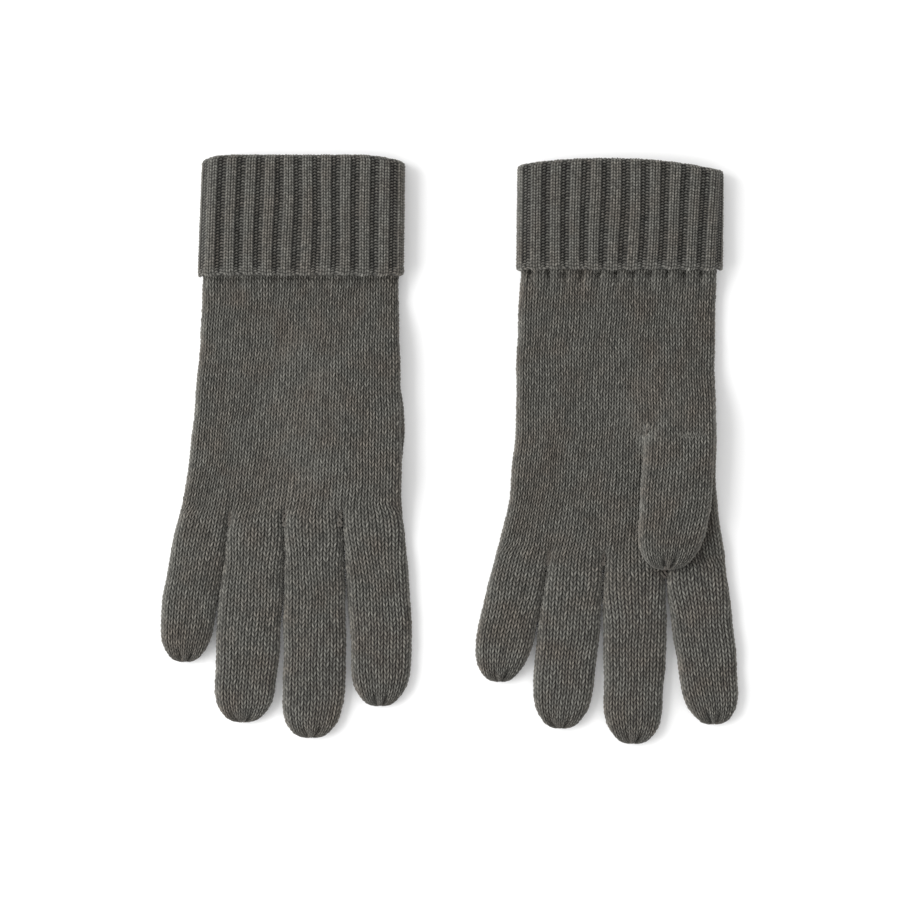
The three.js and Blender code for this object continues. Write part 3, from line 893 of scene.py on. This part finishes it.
def cast_on(u, s):
    """The looped free edge of the rib, which hangs lowest under the raised ribs."""
    loops = 0.28 * np.cos(TURN * REPEAT_WALES * RIB_REPEATS * u) * smooth(1.2, 0.2, s)
    scallop = 0.4 * np.cos(TURN * RIB_REPEATS * u) * smooth(4, 0.5, s)
    sway = 0.35 * np.sin(TURN * 5 * u + 1) * smooth(12, 1, s)
    return -loops - scallop - sway


def cuff_front(glove, s, u, c, length):
    """The rib up the outside of the cuff, over the fold at the mouth and down inside.

    Gives its points and the part of their height that the stitches make, lowered where the rib is sunk
    to paint shade on the purl."""
    turn_radius = LUMEN_DEPTH / 2
    turn = glove.top - turn_radius
    straight = turn - glove.edge
    t = rib_place(u)
    s = s - rib_shift(t) * smooth(0.3, 2, s) * smooth(length, length - 2, s)
    angle = np.clip((s - straight) / turn_radius, 0, math.pi)
    beyond = np.clip(s - straight - math.pi * turn_radius, 0, None)
    y = np.where(s < straight, glove.edge + s, turn + turn_radius * np.sin(angle) - beyond)
    curl = np.clip(1 - s / CURL_LENGTH, 0, 1)
    inset = turn_radius * (1 - np.cos(angle)) + EDGE_CURL * (1 - np.sqrt(1 - 0.98 * curl ** 2))
    base = cuff_points(glove, y, inset, rib_turn(glove.side, u, s))
    normal = directions_of(base)[0]
    outside = base[:8]
    normal *= np.sign(((outside - outside.mean(axis=(0, 1))) * normal[:8]).sum())
    relief, depth = rib_relief(t, c, smooth(*OPENING_SPAN, s), np.sin(angle) ** 0.7, 20)
    front = base + normal * relief[..., None] * calmer_edge(normal)
    front[..., 1] += cast_on(u, c * RIB_COURSE)
    return front, depth


def make_turned_cuff(glove):
    """The outer layer in two pieces: the cast-on edge, and all above it."""
    side = glove.side
    turn = glove.top - LUMEN_DEPTH / 2
    length = turn - glove.edge + math.pi * LUMEN_DEPTH / 2 + CUFF_INSIDE
    courses = round(length / RIB_COURSE)
    s = np.arange(courses * RIB_ROWS + 1) / RIB_ROWS * length / courses
    u = rib_columns()
    s_grid, u_grid = np.meshgrid(s, u, indexing="ij")
    c_grid = s_grid / length * courses
    front, depth = cuff_front(glove, s_grid, u_grid, c_grid, length)
    c = c_grid[:, 0]
    welt_rows = int(np.searchsorted(s, WELT))
    under_y = np.linspace(turn, glove.edge + WELT, UNDER_ROWS)
    back_y = [turn - CUFF_INSIDE, turn - 2.2, turn, *under_y]
    turned_back = cuff_back(glove, back_y, [*CUFF_BACK_INSETS, *[CUFF_PLY] * UNDER_ROWS], u)
    turned = ring_between(
        f"{side}_glove_turned_cuff", front[welt_rows:], turned_back, u, c[welt_rows:], depth[welt_rows:])
    dress(turned, rib, "rib", f"{side}_turned_cuff")
    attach(turned, f"{side}_wrist")
    welt_back = cuff_back(glove, [glove.edge + WELT, glove.edge + 0.2], [CUFF_PLY] * 2, u)
    edge = slice(0, welt_rows + 1)
    welt = ring_between(f"{side}_glove_cuff_edge", front[edge], welt_back, u, c[edge], depth[edge])
    dress(welt, rib, "rib", f"{side}_cuff_edge")
    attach(welt, f"{side}_wrist")


def cuff_back(glove, ys, insets, u):
    """The hidden side of the cuff, as one loop for each y and inset."""
    around = (u[None, :] + RIB_PHASE[glove.side]) % 1
    return cuff_points(glove, np.array(ys)[:, None] + 0 * around, np.array(insets)[:, None], around)


def make_wrist_rib(glove):
    """The inner layer, seen only through the mouth of the wrist."""
    side = glove.side
    start = glove.top - LUMEN_DEPTH / 2 - WRIST_OVERLAP
    end = glove.edge + 1.0
    courses = round((start - end) / (2 * RIB_COURSE))
    u = rib_columns()
    y, u_grid = np.meshgrid(np.linspace(start, end, courses * RIB_ROWS + 1), u, indexing="ij")
    base = cuff_points(glove, y, LUMEN_DEPTH, u_grid)
    normal = directions_of(base)[0]
    normal *= -np.sign(((base - base.mean(axis=(0, 1))) * normal).sum())
    c_grid = (start - y) / RIB_COURSE
    relief, depth = rib_relief(rib_place(u_grid), c_grid, 0 * u_grid, 0 * u_grid, 21)
    front = base + normal * relief[..., None]
    back_y = np.linspace(end, start, WRIST_BACK_ROWS)[:, None]
    back = cuff_points(glove, back_y + 0 * u[None, :], WRIST_BACK, u[None, :])
    lining = ring_between(f"{side}_glove_wrist_rib", front, back, u, c_grid[:, 0], depth)
    dress(lining, rib, "rib", f"{side}_wrist_rib")
    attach(lining, f"{side}_wrist")


# ---- Materials ----
FIBRE_SCALE = 1500  # noise of the yarn's fibres, its flecks and so on, in waves to the metre
FLECK_SCALE = 620
PATCH_SCALE = 75
FUZZ_SCALE = 2600
FIBRE_LIGHT, FLECK_LIGHT, STITCH_LIGHT = 0.42, 0.25, 0.36  # how much each lightens the yarn
PATCH_SHARE = 0.55  # of the tint, where the heather patches are strongest
FLOOR_OF_STITCH, TOP_OF_STITCH = -0.26, 0.74  # relief where the painted shade is darkest and the painted highlight is lightest
# how far the painted highlight lightens the yarn on the crests of its stitches
PAINTED_CREST_HIGHLIGHT = 1.66
BUMP_HEIGHT = 0.22 * MM


class Nodes:
    """Short calls for making and linking shader nodes."""

    def __init__(self, name):
        self.material = bpy.data.materials.new(name)
        self.material.use_nodes = True
        self.tree = self.material.node_tree
        self.tree.nodes.clear()

    def add(self, kind, inputs=None, **settings):
        node = self.tree.nodes.new(kind)
        for key, value in settings.items():
            setattr(node, key, value)
        for key, value in (inputs or {}).items():
            if isinstance(value, bpy.types.NodeSocket):
                self.tree.links.new(value, node.inputs[key])
            else:
                node.inputs[key].default_value = value
        return node

    def math(self, operation, a, b, clamp=False):
        node = self.add("ShaderNodeMath", {0: a, 1: b}, operation=operation, use_clamp=clamp)
        return node.outputs[0]

    def mix(self, share, a, b, blend="MIX"):
        node = self.add("ShaderNodeMix", {0: share, 6: a, 7: b}, data_type="RGBA", blend_type=blend)
        return node.outputs[2]

    def noise(self, vector, scale, detail, roughness):
        node = self.add("ShaderNodeTexNoise", {
            "Vector": vector, "Scale": scale, "Detail": detail, "Roughness": roughness})
        return node.outputs["Fac"]

    def spread(self, value, low, high, to_low=0.0, to_high=1.0):
        node = self.add("ShaderNodeMapRange", {
            "Value": value, "From Min": low, "From Max": high, "To Min": to_low, "To Max": to_high})
        return node.outputs["Result"]

    def surface(self, inputs):
        shader = self.add("ShaderNodeBsdfPrincipled", inputs)
        self.add("ShaderNodeOutputMaterial", {"Surface": shader.outputs[0]})
        return self.material


def leg_shade(n):
    """A value by chance, 0 to 1, for each leg of each stitch."""
    knit = n.add("ShaderNodeUVMap", uv_map="Knit").outputs["UV"]
    legs = n.add("ShaderNodeVectorMath", {0: knit, 1: (2, 1, 1)}, operation="MULTIPLY").outputs[0]
    cell = n.add("ShaderNodeVectorMath", {0: legs}, operation="FLOOR").outputs[0]
    return n.add("ShaderNodeTexWhiteNoise", {"Vector": cell}, noise_dimensions="2D").outputs["Value"]


def yarn_material(name, dark, light, tint, groove):
    """Heathered wool: fibres of several shades, each stitch a little different, with painted shade in
    the grooves and a painted highlight on the crests of the stitches.
    """
    n = Nodes(name)
    place = n.add("ShaderNodeTexCoord").outputs["Object"]
    fibre = n.noise(place, FIBRE_SCALE, 3, 0.65)
    fleck = n.noise(place, FLECK_SCALE, 2, 0.5)
    patch = n.noise(place, PATCH_SCALE, 3, 0.55)
    fuzz = n.noise(place, FUZZ_SCALE, 3, 0.7)
    depth = n.add("ShaderNodeAttribute", attribute_name="relief").outputs["Fac"]
    shade = n.math("ADD", n.math("MULTIPLY", n.spread(fibre, 0.34, 0.66), FIBRE_LIGHT),
                   n.math("MULTIPLY", n.spread(fleck, 0.32, 0.68), FLECK_LIGHT))
    shade = n.math("ADD", shade, n.math("MULTIPLY", leg_shade(n), STITCH_LIGHT), clamp=True)
    colour = n.mix(shade, dark, light)
    colour = n.mix(n.spread(patch, 0.42, 0.68, 0, PATCH_SHARE), colour, tint, "MULTIPLY")
    # Painted shade and painted highlight: the colour is darkened where the stitch relief is low, in the
    # grooves between legs and wales and in the sunk purl, down to groove times its own value, and
    # lightened on the crests of the stitches.
    painted_shade_and_highlight = n.spread(depth, FLOOR_OF_STITCH, TOP_OF_STITCH, groove, PAINTED_CREST_HIGHLIGHT)
    painted_light_colour = n.add("ShaderNodeCombineColor", {"Red": painted_shade_and_highlight, "Green": painted_shade_and_highlight, "Blue": painted_shade_and_highlight}).outputs[0]
    colour = n.mix(1.0, colour, painted_light_colour, "MULTIPLY")
    bump = n.add("ShaderNodeBump", {
        "Height": n.math("ADD", fibre, fuzz), "Strength": 0.55, "Distance": BUMP_HEIGHT})
    return n.surface({
        "Base Color": colour, "Roughness": 0.92, "Normal": bump.outputs[0],
        "Specular IOR Level": 0.25, "Sheen Weight": 0.35, "Sheen Roughness": 0.5,
        "Sheen Tint": (0.82, 0.8, 0.75, 1.0)})


def dress(piece, material, slot, *nodes):
    """Gives a piece its material, and hides the CAD nodes that it stands for."""
    piece.data.materials.append(material)
    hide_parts(*nodes)


# ---- Studio, in metres ----
def make_floor():
    half_width = 2.0
    mesh = bpy.data.meshes.new("floor")
    around = [(-1, -1), (1, -1), (1, 1), (-1, 1)]
    mesh.from_pydata([(half_width * x, half_width * y, 0) for x, y in around], [], [(0, 1, 2, 3)])
    floor = bpy.data.objects.new("floor", mesh)
    bpy.context.scene.collection.objects.link(floor)
    paper = Nodes("pale_paper").surface({
        "Base Color": (0.88, 0.88, 0.88, 1), "Roughness": 0.8, "Specular IOR Level": 0.2})
    mesh.materials.append(paper)


def make_lights():
    """A white room, and a large soft window to the left."""
    world = bpy.data.worlds.new("studio")
    bpy.context.scene.world = world
    world.use_nodes = True
    background = world.node_tree.nodes["Background"]
    background.inputs["Color"].default_value = (1, 1, 1, 1)
    background.inputs["Strength"].default_value = 1.0
    lamp = bpy.data.lights.new("window", "AREA")
    lamp.shape = "RECTANGLE"
    lamp.size = 1.7
    lamp.size_y = 1.7
    lamp.energy = 47
    window = bpy.data.objects.new("window", lamp)
    window.location = (-1.5, 0.1, 1.17)
    aim = -window.location.normalized()
    window.rotation_euler = aim.to_track_quat("-Z", "Y").to_euler()
    bpy.context.scene.collection.objects.link(window)


def make_camera():
    """Straight above the pair, far enough away to flatten it, with the photograph's framing."""
    height = 1.6
    width = 0.378
    camera_data = bpy.data.cameras.new("camera")
    camera_data.sensor_width = 36
    camera_data.lens = camera_data.sensor_width * height / width
    camera = bpy.data.objects.new("camera", camera_data)
    camera.location = (0.00013, 0.00023, height)
    bpy.context.scene.collection.objects.link(camera)
    bpy.context.scene.camera = camera
    bpy.context.scene.view_settings.view_transform = "Standard"


# ---- The scene ----
make_camera()
make_lights()
make_floor()
# groove gives how far the painted shade darkens each yarn in its grooves
jersey = yarn_material(
    "plain_knitting", dark=(0.034, 0.033, 0.029, 1), light=(0.135, 0.132, 0.118, 1),
    tint=(1.0, 0.84, 0.76, 1), groove=0.02)
rib = yarn_material(
    "ribbed_knitting", dark=(0.034, 0.033, 0.029, 1), light=(0.145, 0.142, 0.128, 1),
    tint=(1.0, 0.87, 0.8, 1), groove=0.0)
darn = yarn_material(
    "darning_yarn", dark=(0.04, 0.036, 0.031, 1), light=(0.14, 0.13, 0.115, 1),
    tint=(1.0, 0.84, 0.76, 1), groove=0.6)

for glove in (Glove("right"), Glove("left")):
    make_hand(glove)
    for finger_name in FINGERS:
        make_finger(glove, finger_name)
    make_thumb(glove)
    make_darns(glove)
    make_turned_cuff(glove)
    make_wrist_rib(glove)
